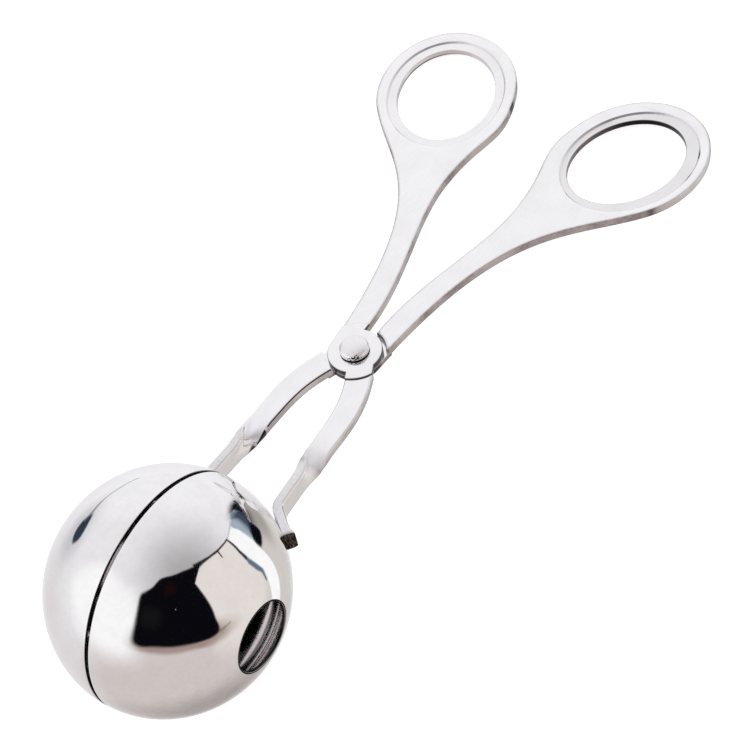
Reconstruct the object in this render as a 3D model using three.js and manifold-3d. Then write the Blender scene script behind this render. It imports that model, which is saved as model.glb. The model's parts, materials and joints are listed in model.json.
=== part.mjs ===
// Meatball tongs: two stamped steel arms cross at a rivet, and each carries half of a hollow ball.
// Millimetres, +Z up. The tool lies as it is put down, on its ball and on the ends of its two loops.
//
// The tool's own frame has the pivot at its origin, +Y up the handles and Z along the pivot's axis.
// One half is an arm with its handle on +X and its jaw and cup on -X. The other half is the same
// half turned over about Y, so both arms and both cups are the same stampings.

import * as THREE from 'three';
import { mergeVertices } from 'three/addons/utils/BufferGeometryUtils.js';
import Module from 'manifold-3d';

const wasm = await Module();
wasm.setup();

const degrees = THREE.MathUtils.degToRad;

// Sheet and bar
const SHEET = 2;
const BAR_WIDTH = 4.5;

// Ball of two cups
const BALL_RADIUS = 23;
const CUP_DEPTH = 21.9;
const CUP_WALL = 0.7;
const SEAM_GAP = 0.6;
const DRAIN_RADIUS = 6.7;
const BALL_DROP = 60.4;

// Finger loop: an oval hole that leans outwards, with a coined band round it on both faces
const LOOP_OUT = 21;
const LOOP_UP = 64;
const LOOP_LEAN = degrees(24.4);
const HOLE_HALF_WIDTH = 9.9;
const HOLE_HALF_LENGTH = 12.6;
const RIM_SIDE = 4.35;
const RIM_TIP = 4.8;
const RIM_BASE = 2.9;
const BAND_WIDTH = 2.1;
const BAND_DEPTH = 0.35;

// Handle edges, from the lap to the loop
const HANDLE_GAP = 1.1;
const SWELL_OUT = 8.1;
const SWELL_BELOW_LOOP = 19.6;
const INNER_JOIN = degrees(183.3);
const OUTER_JOIN = degrees(-20.2);
const OUTER_ROOT_LEAN = degrees(4);

// Fullness of the handle's curves: each pull is a share of the span that its curve crosses
const GAP_FULLNESS = 0.38;
const SWELL_FULLNESS_BELOW = 0.3;
const SWELL_FULLNESS_ABOVE = 0.54;
const INNER_JOIN_FULLNESS = 0.49;
const OUTER_JOIN_FULLNESS = 0.25;
const OUTER_ROOT_FULLNESS = 0.68;

// Lap and rivet
const LAP_RADIUS = 5.3;
const LAP_GAP = 0.1;
const SHOULDER_CLEARANCE = 0.8;
const BOSS_WALL = 0.9;
const BOSS_RISE = 0.6;
const RIVET_RADIUS = 2;
const RIVET_OVERHANG = 0.75;
const RIVET_RIM = 0.6;
const RIVET_DOME = 0.9;
const RIVET_TAIL = 0.9;
const RUNNING_CLEARANCE = 0.05;
const HEAD_CLEARANCE = 0.08;

// Jaw: leaves the lap, twists a quarter turn, then bends out to a foot that lies on the cup
const JAW_LEAN = degrees(28);
const JAW_OFFSET = 1.4;
const JAW_ROOT_SHARE = 0.6;
const ROOT_WIDTH = 5.2;
const JAW_PULL = 9.8;
const TWIST_OUT = 6.95;
const TWIST_DROP = 22;
const TWIST_LENGTH = 6;
const TWIST_PULL = 6;
const FOOT_BEARING = degrees(33);
const FOOT_HEEL = 5.3;
const FOOT_TOE = 1.8;
const FOOT_GAP = 0.3;
const BEND_RADIUS = 3.5;

// Facets
const ROUND_STEPS = 32;
const CUP_STEPS = 48;
const CUP_RINGS = 12;
const EDGE_STEPS = 14;
const DOME_STEPS = 6;
const FLAT_STEPS = 10;
const TWIST_STEPS = 10;
const BEND_STEPS = 6;
const WELD_DISTANCE = 1e-4;

const lapFace = LAP_GAP / 2;
const bossFace = SHEET / 2 + BOSS_RISE;
const recessRadius = LAP_RADIUS + SHOULDER_CLEARANCE;
const bossRadius = recessRadius + BOSS_WALL;
const tall = 2 * bossFace;

// Booleans
function solidFrom(geometry) {
  geometry.deleteAttribute('normal');
  geometry.deleteAttribute('uv');
  const welded = mergeVertices(geometry, WELD_DISTANCE);
  return new wasm.Manifold(new wasm.Mesh({
    numProp: 3,
    vertProperties: Float32Array.from(welded.attributes.position.array),
    triVerts: Uint32Array.from(welded.index.array),
  }));
}

function geometryFrom(solid) {
  const mesh = solid.getMesh();
  const geometry = new THREE.BufferGeometry();
  geometry.setAttribute('position', new THREE.BufferAttribute(mesh.vertProperties, 3));
  geometry.setIndex(new THREE.BufferAttribute(mesh.triVerts, 1));
  geometry.computeVertexNormals();
  return geometry;
}

function plate(shape, bottom, top) {
  const options = { depth: top - bottom, bevelEnabled: false, curveSegments: EDGE_STEPS };
  return solidFrom(new THREE.ExtrudeGeometry(shape, options).translate(0, 0, bottom));
}

function disc(radius, bottom, top) {
  const geometry = new THREE.CylinderGeometry(radius, radius, top - bottom, ROUND_STEPS);
  return solidFrom(geometry.rotateX(Math.PI / 2).translate(0, 0, (top + bottom) / 2));
}

// Finger loop: the rim is an oval set further out than the hole, so its tip is wider than its base
const loopCentre = new THREE.Vector2(LOOP_OUT, LOOP_UP);
const loopAxis = new THREE.Vector2(Math.sin(LOOP_LEAN), Math.cos(LOOP_LEAN));
const rimHalfWidth = HOLE_HALF_WIDTH + RIM_SIDE;
const rimHalfLength = HOLE_HALF_LENGTH + (RIM_TIP + RIM_BASE) / 2;
const rimCentre = loopCentre.clone().addScaledVector(loopAxis, (RIM_TIP - RIM_BASE) / 2);
const rimCurve = new THREE.EllipseCurve(
  rimCentre.x, rimCentre.y, rimHalfWidth, rimHalfLength, 0, 2 * Math.PI, false, -LOOP_LEAN,
);

function rimPoint(angle) {
  return rimCurve.getPoint(angle / (2 * Math.PI));
}

// Direction of travel round the rim as the angle grows
function rimHeading(angle) {
  const local = new THREE.Vector2(-rimHalfWidth * Math.sin(angle), rimHalfLength * Math.cos(angle));
  return local.rotateAround(new THREE.Vector2(), -LOOP_LEAN).normalize();
}

function loopOval(grow) {
  const oval = new THREE.Shape();
  oval.absellipse(
    loopCentre.x, loopCentre.y, HOLE_HALF_WIDTH + grow, HOLE_HALF_LENGTH + grow,
    0, 2 * Math.PI, false, -LOOP_LEAN,
  );
  return oval;
}

// Plan of the handle: up the inner edge, round the rim and down the outer edge to the lap
function handlePlan() {
  const innerRoot = new THREE.Vector2(HANDLE_GAP, LAP_RADIUS);
  const outerRoot = new THREE.Vector2(LAP_RADIUS, 0);
  const swell = new THREE.Vector2(SWELL_OUT, LOOP_UP - SWELL_BELOW_LOOP);
  const innerEnd = rimPoint(INNER_JOIN);
  const outerEnd = rimPoint(OUTER_JOIN + 2 * Math.PI);
  const rootRise = swell.y - innerRoot.y;
  const joinRise = innerEnd.y - swell.y;
  const outerSpan = outerEnd.distanceTo(outerRoot);
  const rootPull = OUTER_ROOT_FULLNESS * outerSpan;
  const innerPull = innerEnd.clone()
    .addScaledVector(rimHeading(INNER_JOIN), INNER_JOIN_FULLNESS * joinRise);
  const outerPull = outerEnd.clone()
    .addScaledVector(rimHeading(OUTER_JOIN), -OUTER_JOIN_FULLNESS * outerSpan);
  const plan = new THREE.Shape();
  plan.moveTo(innerRoot.x, 0);
  plan.lineTo(innerRoot.x, innerRoot.y);
  plan.bezierCurveTo(
    innerRoot.x, innerRoot.y + GAP_FULLNESS * rootRise,
    swell.x, swell.y - SWELL_FULLNESS_BELOW * rootRise,
    swell.x, swell.y,
  );
  plan.bezierCurveTo(
    swell.x, swell.y + SWELL_FULLNESS_ABOVE * joinRise,
    innerPull.x, innerPull.y,
    innerEnd.x, innerEnd.y,
  );
  plan.absellipse(
    rimCentre.x, rimCentre.y, rimHalfWidth, rimHalfLength, INNER_JOIN, OUTER_JOIN, true, -LOOP_LEAN,
  );
  plan.bezierCurveTo(
    outerPull.x, outerPull.y,
    outerRoot.x + rootPull * Math.sin(OUTER_ROOT_LEAN), rootPull * Math.cos(OUTER_ROOT_LEAN),
    outerRoot.x, outerRoot.y,
  );
  plan.closePath();
  return plan;
}

// Centre line of the jaw in plan, as stations with a place, a heading, a twist and a width
function jawStations() {
  const heading = new THREE.Vector2(-Math.sin(JAW_LEAN), -Math.cos(JAW_LEAN));
  const outwards = new THREE.Vector2(-Math.cos(JAW_LEAN), Math.sin(JAW_LEAN));
  const start = heading.clone().multiplyScalar(JAW_ROOT_SHARE * LAP_RADIUS)
    .addScaledVector(outwards, JAW_OFFSET);

  // The foot touches the ball where the ball's outward normal has the foot's bearing
  const normal = new THREE.Vector2(-Math.sin(FOOT_BEARING), Math.cos(FOOT_BEARING));
  const along = new THREE.Vector2(-Math.cos(FOOT_BEARING), -Math.sin(FOOT_BEARING));
  const reach = Math.hypot(CUP_DEPTH * normal.x, BALL_RADIUS * normal.y);
  const contact = new THREE.Vector2(CUP_DEPTH ** 2 * normal.x, BALL_RADIUS ** 2 * normal.y)
    .divideScalar(reach).sub(new THREE.Vector2(0, BALL_DROP));
  const footMiddle = contact.addScaledVector(normal, FOOT_GAP + SHEET / 2);
  const corner = footMiddle.clone().addScaledVector(along, -FOOT_HEEL);
  const toe = footMiddle.clone().addScaledVector(along, FOOT_TOE);

  const twistStart = new THREE.Vector2(-TWIST_OUT, -TWIST_DROP);
  const down = corner.clone().sub(twistStart).normalize();
  const twistEnd = twistStart.clone().addScaledVector(down, TWIST_LENGTH);
  const bend = BEND_RADIUS * Math.tan(Math.acos(down.dot(along)) / 2);
  const bendStart = corner.clone().addScaledVector(down, -bend);
  const bendEnd = corner.clone().addScaledVector(along, bend);

  const flat = new THREE.CubicBezierCurve(
    start,
    start.clone().addScaledVector(heading, JAW_PULL),
    twistStart.clone().addScaledVector(down, -TWIST_PULL),
    twistStart,
  );
  const bent = new THREE.QuadraticBezierCurve(bendStart, corner, bendEnd);
  const flatways = 0;
  const edgeways = Math.PI / 2;
  const stretches = [
    { curve: flat, steps: FLAT_STEPS, from: [flatways, ROOT_WIDTH], to: [flatways, BAR_WIDTH] },
    { curve: new THREE.LineCurve(twistStart, twistEnd), steps: TWIST_STEPS, from: [flatways, BAR_WIDTH] },
    { curve: new THREE.LineCurve(twistEnd, bendStart), steps: 1 },
    { curve: bent, steps: BEND_STEPS },
    { curve: new THREE.LineCurve(bendEnd, toe), steps: 1 },
  ];
  const stations = [];
  for (const { curve, steps, from = [edgeways, BAR_WIDTH], to = [edgeways, BAR_WIDTH] } of stretches) {
    for (let step = stations.length ? 1 : 0; step <= steps; step += 1) {
      const share = step / steps;
      stations.push({
        place: curve.getPoint(share),
        heading: curve.getTangent(share),
        twist: THREE.MathUtils.lerp(from[0], to[0], share),
        width: THREE.MathUtils.lerp(from[1], to[1], share),
      });
    }
  }
  return stations;
}

// Rectangular bar through the stations. The outer edge rises as the bar twists.
function bar(stations, thickness) {
  const positions = [];
  const faces = [];
  for (const { place, heading, twist, width } of stations) {
    const outer = new THREE.Vector3(heading.y, -heading.x, 0);
    const up = new THREE.Vector3(0, 0, 1);
    const across = outer.clone().multiplyScalar(Math.cos(twist)).addScaledVector(up, Math.sin(twist));
    const through = up.clone().multiplyScalar(Math.cos(twist)).addScaledVector(outer, -Math.sin(twist));
    for (const [side, face] of [[1, -1], [-1, -1], [-1, 1], [1, 1]]) {
      const corner = new THREE.Vector3(place.x, place.y, 0)
        .addScaledVector(across, side * width / 2)
        .addScaledVector(through, face * thickness / 2);
      positions.push(corner.x, corner.y, corner.z);
    }
  }
  const last = 4 * (stations.length - 1);
  for (let ring = 0; ring < last; ring += 4) {
    for (let side = 0; side < 4; side += 1) {
      const next = (side + 1) % 4;
      faces.push(ring + side, ring + next, ring + 4 + next);
      faces.push(ring + side, ring + 4 + next, ring + 4 + side);
    }
  }
  faces.push(0, 2, 1, 0, 3, 2);
  faces.push(last, last + 1, last + 2, last, last + 2, last + 3);
  const geometry = new THREE.BufferGeometry();
  geometry.setAttribute('position', new THREE.Float32BufferAttribute(positions, 3));
  geometry.setIndex(faces);
  return solidFrom(geometry);
}

// Thickness of the stamping about the pivot: a flat sheet whose lap is pushed half through itself,
// so that one face has a round recess and the other a round boss
function stampedSheet(reach) {
  const profile = [
    [0, -bossFace], [bossRadius, -bossFace], [bossRadius, -SHEET / 2], [reach, -SHEET / 2],
    [reach, SHEET / 2], [recessRadius, SHEET / 2], [recessRadius, -lapFace], [0, -lapFace],
  ].map(([radius, height]) => new THREE.Vector2(radius, height));
  return solidFrom(new THREE.LatheGeometry(profile, ROUND_STEPS).rotateX(Math.PI / 2));
}

// Arm: handle, lap and flat root of the jaw cut from one stamped sheet, then the twisted jaw
function armGeometry() {
  const stations = jawStations();
  const root = stations.filter((station) => station.twist === 0);
  const jaw = stations.slice(root.length - 1);
  const holeRadius = (RIVET_RADIUS + RUNNING_CLEARANCE) / Math.cos(Math.PI / ROUND_STEPS);
  const plan = plate(handlePlan(), -tall, tall)
    .add(disc(LAP_RADIUS, -tall, tall))
    .add(bar(root, 2 * tall));
  const arm = plan.intersect(stampedSheet(2 * (LOOP_UP + LOOP_OUT)))
    .subtract(disc(holeRadius, -tall, tall))
    .subtract(plate(loopOval(0), -tall, tall))
    .subtract(plate(loopOval(BAND_WIDTH), SHEET / 2 - BAND_DEPTH, tall))
    .subtract(plate(loopOval(BAND_WIDTH), -tall, BAND_DEPTH - SHEET / 2))
    .add(bar(jaw, SHEET));
  return geometryFrom(arm);
}

// Cup: half of an oval shell turned about the ball's axis, with a drain hole at its pole
function cupGeometry() {
  const profile = [];
  const wallArc = (radius, depth, share) => {
    const rim = Math.asin(SEAM_GAP / 2 / depth);
    const drain = Math.acos(DRAIN_RADIUS / radius);
    const angle = THREE.MathUtils.lerp(rim, drain, share);
    return new THREE.Vector2(radius * Math.cos(angle), depth * Math.sin(angle));
  };
  for (let ring = 0; ring <= CUP_RINGS; ring += 1) {
    profile.push(wallArc(BALL_RADIUS, CUP_DEPTH, ring / CUP_RINGS));
  }
  for (let ring = CUP_RINGS; ring >= 0; ring -= 1) {
    profile.push(wallArc(BALL_RADIUS - CUP_WALL, CUP_DEPTH - CUP_WALL, ring / CUP_RINGS));
  }
  profile.push(profile[0].clone());
  const geometry = new THREE.LatheGeometry(profile, CUP_STEPS);
  geometry.rotateZ(Math.PI / 2).translate(0, -BALL_DROP, 0);
  return geometryFrom(solidFrom(geometry));
}

// Rivet: domed head over the upper lap, shank through both laps and a peened tail below
function rivetGeometry() {
  const headRadius = RIVET_RADIUS + RIVET_OVERHANG;
  const seat = bossFace + HEAD_CLEARANCE;
  const profile = [
    new THREE.Vector2(0, -seat - RIVET_TAIL),
    new THREE.Vector2(headRadius - RIVET_TAIL / 2, -seat - RIVET_TAIL),
    new THREE.Vector2(headRadius, -seat - RIVET_TAIL / 2),
    new THREE.Vector2(headRadius, -seat),
    new THREE.Vector2(RIVET_RADIUS, -seat),
    new THREE.Vector2(RIVET_RADIUS, seat),
    new THREE.Vector2(headRadius, seat),
  ];
  for (let step = 0; step <= DOME_STEPS; step += 1) {
    const angle = step / DOME_STEPS * Math.PI / 2;
    const radius = step === DOME_STEPS ? 0 : headRadius * Math.cos(angle);
    profile.push(new THREE.Vector2(radius, seat + RIVET_RIM + RIVET_DOME * Math.sin(angle)));
  }
  const geometry = new THREE.LatheGeometry(profile, ROUND_STEPS);
  return geometryFrom(solidFrom(geometry.rotateX(Math.PI / 2)));
}

// Finishes
const satinSteel = new THREE.MeshStandardMaterial({ color: 0xd3d3d6, roughness: 0.32, metalness: 1 });
const mirrorSteel = new THREE.MeshStandardMaterial({ color: 0xdadadd, roughness: 0.08, metalness: 1 });
const rivetSteel = new THREE.MeshStandardMaterial({ color: 0xc9c7c6, roughness: 0.25, metalness: 1 });

function piece(name, geometry, material) {
  const mesh = new THREE.Mesh(geometry, material);
  mesh.name = name;
  return mesh;
}

const arm = armGeometry();
const cup = cupGeometry();

const lowerHalf = new THREE.Group();
lowerHalf.add(piece('lower_arm', arm, satinSteel), piece('left_cup', cup, mirrorSteel));

const upperHalf = new THREE.Group();
upperHalf.add(piece('upper_arm', arm, satinSteel), piece('right_cup', cup, mirrorSteel));
upperHalf.rotation.y = Math.PI;

// The tool tips until its ball and the ends of its loops touch the table together
const rimReach = Math.hypot(rimHalfWidth * Math.sin(LOOP_LEAN), rimHalfLength * Math.cos(LOOP_LEAN));
const tableSpan = BALL_DROP + rimCentre.y + rimReach;
const ballSlope = Math.asin(BALL_RADIUS / Math.hypot(tableSpan, SHEET / 2));
const restTilt = ballSlope - Math.atan2(SHEET / 2, tableSpan);

const tool = new THREE.Group();
tool.add(lowerHalf, upperHalf, piece('pivot_rivet', rivetGeometry(), rivetSteel));
tool.rotation.x = -restTilt;

const tongs = new THREE.Group();
tongs.add(tool);
const reachBox = new THREE.Box3().setFromObject(tongs, true);
tool.position.set(
  -(reachBox.min.x + reachBox.max.x) / 2,
  -(reachBox.min.y + reachBox.max.y) / 2,
  -reachBox.min.z,
);

export default tongs;
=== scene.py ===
import json
from types import SimpleNamespace as Values
import bpy
import numpy as np
from mathutils import Matrix, Vector
from mathutils.geometry import tessellate_polygon


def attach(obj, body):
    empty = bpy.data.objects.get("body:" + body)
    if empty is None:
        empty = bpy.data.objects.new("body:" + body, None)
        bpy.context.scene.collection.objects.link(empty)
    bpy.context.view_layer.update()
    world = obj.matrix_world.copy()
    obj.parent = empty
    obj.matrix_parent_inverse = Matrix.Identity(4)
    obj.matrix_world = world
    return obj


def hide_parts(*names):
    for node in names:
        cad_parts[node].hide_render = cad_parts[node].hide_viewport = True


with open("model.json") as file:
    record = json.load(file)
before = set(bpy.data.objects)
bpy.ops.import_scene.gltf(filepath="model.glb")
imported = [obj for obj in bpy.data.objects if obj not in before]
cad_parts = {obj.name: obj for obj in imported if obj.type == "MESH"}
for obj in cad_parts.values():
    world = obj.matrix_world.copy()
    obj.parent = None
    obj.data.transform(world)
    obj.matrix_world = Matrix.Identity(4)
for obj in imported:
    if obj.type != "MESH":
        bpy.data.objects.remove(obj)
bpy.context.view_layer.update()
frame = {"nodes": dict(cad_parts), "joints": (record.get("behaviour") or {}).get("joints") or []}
print("frame loaded:", sorted(frame["nodes"]))

mm = 0.001
hinge = frame["joints"][0]
pivotPoint = np.array(hinge["pos_m"])
rivetLine = np.array(hinge["axis"])

# the tool's own frame, in mm: pivot at the origin, +Y up the handles, +Z along the rivet
toolTurn = np.array([[1, 0, 0], [0, rivetLine[2], rivetLine[1]], [0, -rivetLine[1], rivetLine[2]]])


def toRow(points, turnedOver=False):
    # the upper half is the lower half turned half a turn about Y
    turned = points * (-1, 1, -1) if turnedOver else points
    return turned * mm @ toolTurn.T + pivotPoint


# sizes that several pieces share, in mm
# every plate's outline carries a line of painted shade, edgeLine wide
steel = Values(sheet=2.0, roundSteps=5, inset=0.025, edgeLine=0.3, edgeDull=0.3)
ball = Values(radius=22.99, depth=21.89, wall=0.7, drain=6.7, drop=60.4, rimGap=0.72)
# tone is the share of painted shade on the lap disc's edge wall
lap = Values(
    radius=5.3, gap=0.1, clearance=0.5, bossWall=1.0, bossRise=0.35, blunt=0.7,
    hole=2.05, holeFlare=1.08, holeEdge=0.02, faceRound=0.16, tone=0.88,
    holeSteps=64, stubSteps=8, endSteps=24, rightSteps=40, leftSteps=60,
)
lap.recess = lap.radius + lap.clearance
lap.boss = lap.recess + lap.bossWall
bossFace = steel.sheet / 2 + lap.bossRise
ballCentre = toRow(np.array([0, -ball.drop, 0]))


# camera: places and clip in metres, roll in degrees, lens and sensor in mm
cameraSet = Values(
    eye=(0.245829, -0.179236, 0.459273),
    aim=(0.003851, 0.000505, 0.010),
    roll=-24.8966,
    lens=138.062,
    sensor=36,
    clip=0.01,
)


def makeCamera(setup):
    data = bpy.data.cameras.new("camera")
    data.lens = setup.lens
    data.sensor_width = setup.sensor
    data.clip_start = setup.clip
    camera = bpy.data.objects.new("camera", data)
    bpy.context.scene.collection.objects.link(camera)
    eye = Vector(setup.eye)
    turn = (Vector(setup.aim) - eye).to_track_quat("-Z", "Y").to_matrix().to_4x4()
    roll = Matrix.Rotation(np.radians(setup.roll), 4, "Z")
    camera.matrix_world = Matrix.Translation(eye) @ turn @ roll
    bpy.context.scene.camera = camera


makeCamera(cameraSet)
print("camera placed")


# node helpers: arithmetic on a Wire adds Math nodes, and Finish.add makes any other node
class Wire:
    def __init__(self, finish, socket):
        self.finish = finish
        self.socket = socket

    def maths(self, operation, first, second):
        return self.finish.add("ShaderNodeMath", {"operation": operation}, {0: first, 1: second})

    def __add__(self, other):
        return self.maths("ADD", self, other)

    def __rsub__(self, other):
        return self.maths("SUBTRACT", other, self)

    def __mul__(self, other):
        return self.maths("MULTIPLY", self, other)

    __radd__ = __add__
    __rmul__ = __mul__


class Finish:
    def __init__(self, owner):
        owner.use_nodes = True
        self.owner = owner
        self.tree = owner.node_tree
        self.tree.nodes.clear()

    def add(self, kind, settings=None, inputs=None, output=0):
        node = self.tree.nodes.new(kind)
        for name, value in (settings or {}).items():
            setattr(node, name, value)
        for name, value in (inputs or {}).items():
            if isinstance(value, Wire):
                self.tree.links.new(value.socket, node.inputs[name])
            else:
                node.inputs[name].default_value = value
        return Wire(self, node.outputs[output]) if node.outputs else None

    def place(self):
        return self.add("ShaderNodeTexCoord", output="Object")

    def noise(self, vector, scale, detail=3.0):
        return self.add("ShaderNodeTexNoise", {}, {"Vector": vector, "Scale": scale, "Detail": detail})

    def ramp(self, value, low, high):
        # 0 up to the low value, 1 from the high one on
        wire = self.add("ShaderNodeValToRGB", {}, {"Fac": value})
        first, last = wire.socket.node.color_ramp.elements
        first.position, last.position = low, high
        return wire

    def mix(self, share, first, second):
        inputs = {"Factor": share, 6: first, 7: second}
        return self.add("ShaderNodeMix", {"data_type": "RGBA"}, inputs, 2)

    def stretched(self, vector, scale):
        return self.add("ShaderNodeMapping", {}, {"Vector": vector, "Scale": scale})

    def bump(self, height, strength, distance):
        inputs = {"Height": height, "Strength": strength, "Distance": distance}
        return self.add("ShaderNodeBump", {}, inputs)

    def attribute(self, name):
        return self.add("ShaderNodeAttribute", {"attribute_name": name}, {}, "Fac")

    def surface(self, shader):
        self.add("ShaderNodeOutputMaterial", {}, {"Surface": shader})
        return self.owner


# arm steel: satin faces with fine lines along the handles, browner cut edges, burnt toes, a worn twist;
# painted shade in the holes, along edges, jaw lines and feet, and painted light on some edge walls
armLook = Values(
    face=(0.920, 0.915, 0.927, 1), faceDull=(0.80, 0.79, 0.80, 1),
    edge=(0.58, 0.535, 0.535, 1), edgeDark=(0.20, 0.17, 0.17, 1),
    # near-black painted shade for the hole walls, the lap's edges, the jaws' dark lines and dark spots on
    # the outline
    bore=(0.018, 0.016, 0.017, 1),
    # heat tint for the toes, also used as painted shade on the feet's faces towards the ball
    burn=(0.26, 0.20, 0.165, 1), burnDark=(0.01, 0.008, 0.008, 1),
    faceRough=0.11, cloudRough=0.08, edgeRough=0.26, shearRough=0.12,
    burnRough=0.3, wornRough=0.48,
    clouds=170.0, patches=120.0,  # noise scales per metre
    lines=(2600, 90, 2600), shear=(1500, 1500, 7000), scorch=(4200, 4200, 900),
    cloudSpan=(0.38, 0.68), lineSpan=(0.35, 0.65),  # noise values that the ramps run between
    wearSpan=(0.36, 0.56), scorchSpan=(0.46, 0.66),
    cloudShare=0.3, lineShare=0.15, patchShare=0.6,
    lineBump=(0.06, 0.00004),  # strength, and depth in metres
)


def armSteel():
    look = Finish(bpy.data.materials.new("armSteel"))
    place = look.place()
    lines = look.noise(look.stretched(place, armLook.lines), 1.0, 2.0)
    cloud = look.ramp(look.noise(place, armLook.clouds, 5.0), *armLook.cloudSpan)
    # share of the browner cut-edge colour, which also carries painted shade and light along edges
    cut = look.attribute("cutEdgeAndShade")
    bore = look.attribute("bore")
    burn = look.attribute("weldBurnAndShade")
    worn = look.attribute("worn")
    patches = look.noise(place, armLook.patches, 2.0)
    shear = look.noise(look.stretched(place, armLook.shear), 1.0, 3.0)
    patchShare = armLook.patchShare
    wear = look.ramp(patchShare * patches + (1 - patchShare) * shear, *armLook.wearSpan)
    streaks = look.ramp(lines, *armLook.lineSpan)
    dull = armLook.cloudShare * cloud + armLook.lineShare * streaks
    faceTone = look.mix(dull, armLook.face, armLook.faceDull)
    edgeTone = look.mix(wear, armLook.edgeDark, armLook.edge)
    shadedTone = look.mix(bore, edgeTone, armLook.bore)
    flakes = look.noise(look.stretched(place, armLook.scorch), 1.0, 3.0)
    scorch = look.ramp(flakes, *armLook.scorchSpan)
    burnAndShadeTone = look.mix(scorch, armLook.burnDark, armLook.burn)
    colour = look.mix(burn, look.mix(cut, faceTone, shadedTone), burnAndShadeTone)
    faceRough = armLook.faceRough + armLook.cloudRough * cloud
    edgeRough = armLook.edgeRough + armLook.shearRough * shear
    spoilt = burn * armLook.burnRough + worn * armLook.wornRough
    rough = (1 - cut) * faceRough + cut * edgeRough + spoilt
    shader = look.add("ShaderNodeBsdfPrincipled", {}, {
        "Base Color": colour,
        "Metallic": 1.0,
        "Roughness": rough,
        "Normal": look.bump(lines, *armLook.lineBump),
    })
    return look.surface(shader)


# cup steel: mirror polish, duller towards the table; a dark ring of painted shade inside; lips painted dark
# as shade
cupLook = Values(
    outside=(0.880, 0.872, 0.876, 1), cloudy=(0.66, 0.645, 0.64, 1),
    # the inner steel, with a ring of it painted dark as shade
    inside=(0.78, 0.745, 0.75, 1), drawRing=(0.12, 0.108, 0.108, 1),
    # the lips painted nearly black as shade in the seam and drain holes
    lip=(0.03, 0.028, 0.028, 1),
    outsideRough=0.05, lowerRough=0.042, blotRough=0.056, insideRough=0.08, lipRough=0.3,
    lowerFrom=0.030, lowerTo=0.006,  # heights in metres
    blots=330.0, fineBlots=1100.0, grain=(2400, 500, 500),  # noise scales per metre
    blotShare=0.6, blotSpan=(0.40, 0.62), cloudShare=0.2, lowerShare=0.6,
    grainBump=(0.03, 0.00004),
)


def cupSteel():
    look = Finish(bpy.data.materials.new("cupSteel"))
    place = look.place()
    inside = look.attribute("inside")
    lip = look.attribute("lip")
    height = look.add("ShaderNodeSeparateXYZ", {}, {0: place}, "Z")
    lower = look.add("ShaderNodeMapRange", {"interpolation_type": "SMOOTHSTEP"}, {
        "Value": height, "From Min": cupLook.lowerFrom, "From Max": cupLook.lowerTo,
    })
    blots = look.noise(place, cupLook.blots, 6.0)
    fineBlots = look.noise(place, cupLook.fineBlots, 4.0)
    blotShare = cupLook.blotShare
    cloud = look.ramp(blotShare * blots + (1 - blotShare) * fineBlots, *cupLook.blotSpan)
    grain = look.noise(look.stretched(place, cupLook.grain), 1.0, 2.0)
    cloudy = cloud * (cupLook.cloudShare + cupLook.lowerShare * lower)
    outside = look.mix(cloudy, cupLook.outside, cupLook.cloudy)
    ringShaded = look.mix(look.attribute("drawRing"), cupLook.inside, cupLook.drawRing)
    colour = look.mix(lip, look.mix(inside, outside, ringShaded), cupLook.lip)
    lowerRough = cupLook.lowerRough + cupLook.blotRough * cloud
    outsideRough = cupLook.outsideRough + lower * lowerRough
    wallRough = (1 - inside) * outsideRough + inside * cupLook.insideRough
    shader = look.add("ShaderNodeBsdfPrincipled", {}, {
        "Base Color": colour,
        "Metallic": 1.0,
        "Roughness": wallRough + lip * cupLook.lipRough,
        "Normal": look.bump(grain, *cupLook.grainBump),
    })
    return look.surface(shader)


# rivet steel: satin, pitted on one side of its dome, with painted shade under its head
rivetLook = Values(
    tone=(0.86, 0.85, 0.85, 1), pit=(0.03, 0.022, 0.02, 1), grime=(0.02, 0.02, 0.02, 1),
    rough=0.2, dentRough=0.15, pitShare=0.3,
    dents=700.0, specks=2600.0,  # noise scales per metre
    speckSpan=(0.74, 0.80), dentBump=(0.2, 0.0002),
)


def rivetSteel():
    look = Finish(bpy.data.materials.new("rivetSteel"))
    place = look.place()
    dents = look.noise(place, rivetLook.dents, 3.0)
    spots = look.noise(place, rivetLook.specks, 3.0) + rivetLook.pitShare * look.attribute("pits")
    specks = look.ramp(spots, *rivetLook.speckSpan)
    pitted = look.mix(specks, rivetLook.tone, rivetLook.pit)
    shader = look.add("ShaderNodeBsdfPrincipled", {}, {
        "Base Color": look.mix(look.attribute("grime"), pitted, rivetLook.grime),
        "Metallic": 1.0,
        "Roughness": rivetLook.rough + rivetLook.dentRough * dents,
        "Normal": look.bump(dents, *rivetLook.dentBump),
    })
    return look.surface(shader)


# mesh helpers
def gridFaces(rows, columns, closeRows, closeColumns):
    # quads of a grid whose point (row, column) has the index row * columns + column
    row = np.arange(rows if closeRows else rows - 1)[:, None]
    column = np.arange(columns if closeColumns else columns - 1)[None, :]
    nextRow = (row + 1) % rows
    nextColumn = (column + 1) % columns
    corners = [row * columns + column, row * columns + nextColumn,
               nextRow * columns + nextColumn, nextRow * columns + column]
    return np.stack(np.broadcast_arrays(*corners), -1).reshape(-1, 4)


def joined(shells):
    # several shells as one: points, faces and point values end to end
    points = np.concatenate([shell["points"] for shell in shells])
    starts = np.cumsum([0] + [len(shell["points"]) for shell in shells])
    faces = [side + start for shell, start in zip(shells, starts) for side in shell["faces"]]
    names = shells[0]["values"]
    values = {name: np.concatenate([shell["values"][name] for shell in shells]) for name in names}
    return {"points": points, "faces": faces, "values": values}


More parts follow.
